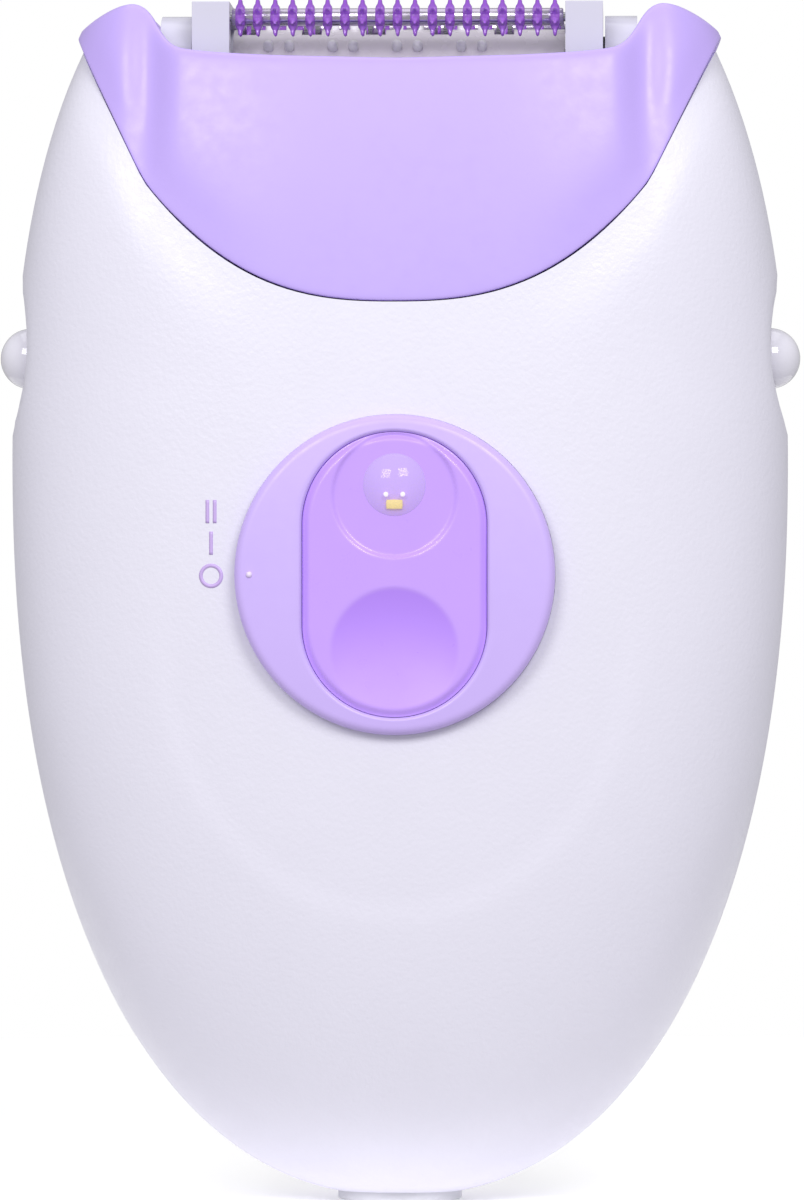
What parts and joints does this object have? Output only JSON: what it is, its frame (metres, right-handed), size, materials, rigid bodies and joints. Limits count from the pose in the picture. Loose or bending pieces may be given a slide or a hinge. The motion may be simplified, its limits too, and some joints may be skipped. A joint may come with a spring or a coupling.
{
  "type": "epilator",
  "caption": "Corded hand-held epilator with an egg-shaped body, a rotary switch dial with a light window, and a lift-off tweezer head with massage rollers.",
  "frame": {"origin": "under the middle of the body, at the height of the end face of the power inlet", "axes": "+Z from the power inlet to the tweezer head, +X across the body to the right as seen from the front, -Y out of the front face with the dial"},
  "size_m": [0.0776, 0.0387, 0.116],
  "materials": {
    "shell_white": "fine satin grain, cool white",
    "saddle_lavender": "fine satin lavender",
    "dial_lavender": "fine satin lavender",
    "window_purple": "polished translucent purple",
    "lamp_clear": "clear lamp lens",
    "button_gloss": "polished pale white",
    "collar_grey": "satin pale grey",
    "socket_black": "satin black",
    "contact_metal": "plated contact",
    "chassis_grey": "plain moulded grey",
    "motor_steel": "plated can",
    "cap_black": "moulded black",
    "board_green": "solder mask over glass laminate",
    "component_dark": "moulded components",
    "wire_cover": "soft wire cover",
    "spring_steel": "spring strip",
    "screw_steel": "zinc plated",
    "gear_nylon": "natural nylon",
    "frame_white": "polished white moulding",
    "axle_steel": "ground steel",
    "cam_grey": "dark acetal",
    "drum_white": "polished white moulding",
    "blade_steel": "dark tweezer steel",
    "roller_purple": "translucent purple"
  },
  "bodies": {
    "handle": {"front_shell": "shell_white", "rear_shell": "shell_white", "socket_collar": "collar_grey", "power_socket": "socket_black", "contact_pins": "contact_metal", "chassis": "chassis_grey", "motor_can": "motor_steel", "motor_end_cap": "cap_black", "motor_terminals": "contact_metal", "circuit_board": "board_green", "board_components": "component_dark", "switch_pads": "contact_metal", "led_lamp": "lamp_clear", "socket_wires": "wire_cover", "motor_wires": "wire_cover", "shell_screws": "screw_steel", "motor_screws": "screw_steel", "idler_pin": "axle_steel", "output_pin": "axle_steel", "detent_spring": "spring_steel", "button_springs": "spring_steel"},
    "motor_rotor": {"motor_shaft": "axle_steel", "motor_pinion": "contact_metal"},
    "idler": {"idler_gear": "gear_nylon"},
    "output": {"output_gear": "gear_nylon"},
    "dial": {"dial_ring": "dial_lavender", "light_window": "window_purple", "dial_carrier": "frame_white", "dial_retainer": "spring_steel", "dial_wiper": "contact_metal"},
    "left_release": {"left_button": "button_gloss"},
    "right_release": {"right_button": "button_gloss"},
    "head": {"saddle_housing": "saddle_lavender", "head_frame": "frame_white", "drum_axle": "axle_steel", "left_cam": "cam_grey", "right_cam": "cam_grey", "head_screws": "screw_steel"},
    "drum": {"drum_core": "drum_white", "tweezer_blades": "blade_steel", "clamp_rods": "axle_steel", "drum_gear": "gear_nylon"},
    "attachment": {"roller_frame": "frame_white"},
    "front_massage": {"front_roller": "roller_purple", "front_roller_axle": "axle_steel"},
    "rear_massage": {"rear_roller": "roller_purple", "rear_roller_axle": "axle_steel"}
  },
  "joints": [
    {"name": "dial_turn", "type": "hinge", "parent": "handle", "child": "dial", "pos_m": [0, -0.0165, 0.0605], "axis": [0, 1, 0], "range_deg": [0, 18.6]},
    {"name": "left_release_press", "type": "slide", "parent": "handle", "child": "left_release", "axis": [1, 0, 0], "range_m": [0, 0.0015], "stiffness_N_per_m": 600, "springref_m": -0.0008, "deforming": ["button_springs"]},
    {"name": "right_release_press", "type": "slide", "parent": "handle", "child": "right_release", "axis": [-1, 0, 0], "range_m": [0, 0.0015], "stiffness_N_per_m": 600, "springref_m": -0.0008, "deforming": ["button_springs"]},
    {"name": "head_lift", "type": "slide", "parent": "handle", "child": "head", "axis": [0, 0, 1], "range_m": [0, 0.022]},
    {"name": "drum_spin", "type": "hinge", "parent": "head", "child": "drum", "pos_m": [0, 0, 0.1075], "axis": [1, 0, 0], "continuous": true},
    {"name": "output_spin", "type": "hinge", "parent": "handle", "child": "output", "pos_m": [0.0175, 0, 0.0921], "axis": [1, 0, 0], "continuous": true},
    {"name": "idler_spin", "type": "hinge", "parent": "handle", "child": "idler", "pos_m": [0.0185, 0, 0.0774], "axis": [1, 0, 0], "continuous": true},
    {"name": "motor_spin", "type": "hinge", "parent": "handle", "child": "motor_rotor", "pos_m": [0.0185, 0.003, 0.06424], "axis": [1, 0, 0], "continuous": true},
    {"name": "roller_frame_lift", "type": "slide", "parent": "head", "child": "attachment", "axis": [0, 0, 1], "range_m": [0, 0.015]},
    {"name": "front_roller_spin", "type": "hinge", "parent": "attachment", "child": "front_massage", "pos_m": [0, -0.0079, 0.11405], "axis": [1, 0, 0], "continuous": true},
    {"name": "rear_roller_spin", "type": "hinge", "parent": "attachment", "child": "rear_massage", "pos_m": [0, 0.0079, 0.11405], "axis": [1, 0, 0], "continuous": true}
  ],
  "couplings": [
    {"joint": "output_spin", "follows": "drum_spin", "ratio": -0.57143},
    {"joint": "idler_spin", "follows": "drum_spin", "ratio": 1.1429},
    {"joint": "motor_spin", "follows": "drum_spin", "ratio": -4}
  ]
}
